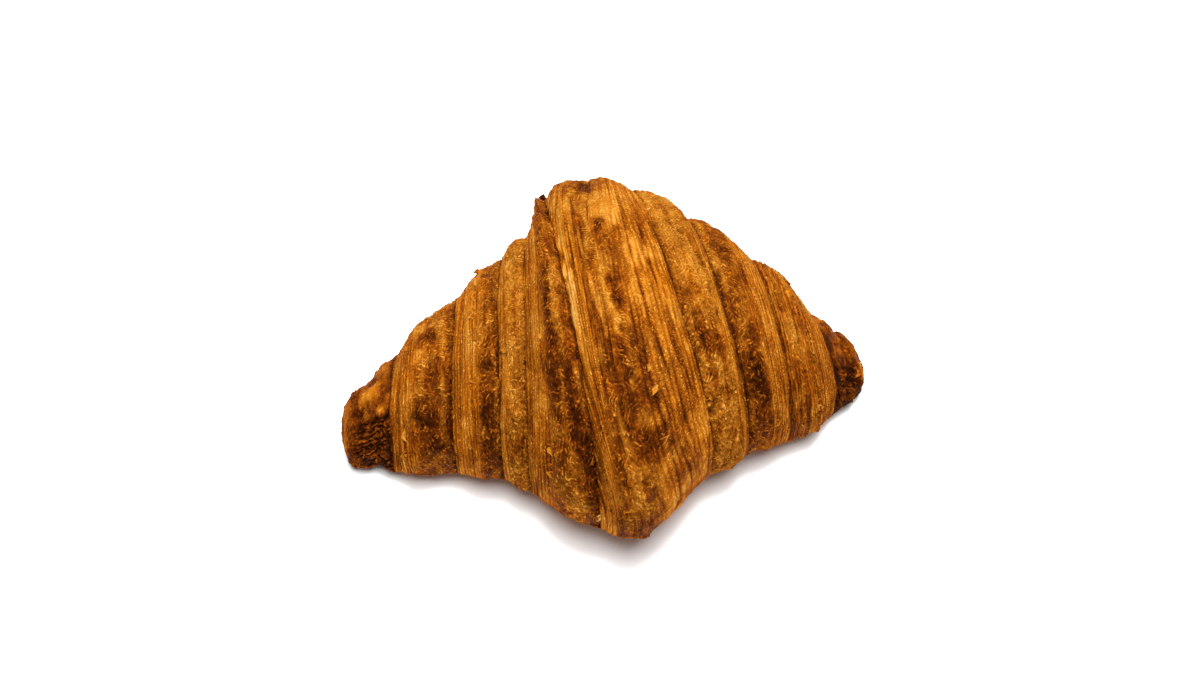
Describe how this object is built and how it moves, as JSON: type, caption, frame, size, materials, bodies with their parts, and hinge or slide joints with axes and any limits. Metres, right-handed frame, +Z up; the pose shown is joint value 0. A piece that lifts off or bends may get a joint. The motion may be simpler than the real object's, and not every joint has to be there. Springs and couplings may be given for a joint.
{
  "type": "croissant",
  "caption": "Baked croissant of rolled laminated dough, wide in the middle and tapering in wraps to blunt tips, resting on a flat underside.",
  "frame": {"origin": "centre of the footprint's box, on the plane that the croissant rests on", "axes": "+X along the roll from the left tip to the right tip, +Y towards the back, +Z up"},
  "size_m": [0.1502, 0.1044, 0.0634],
  "materials": {
    "crust": "egg-washed baked crust, golden orange on the cut layers and dark brown on the blistered treads"
  },
  "bodies": {
    "root": {"croissant": "crust"}
  },
  "joints": []
}
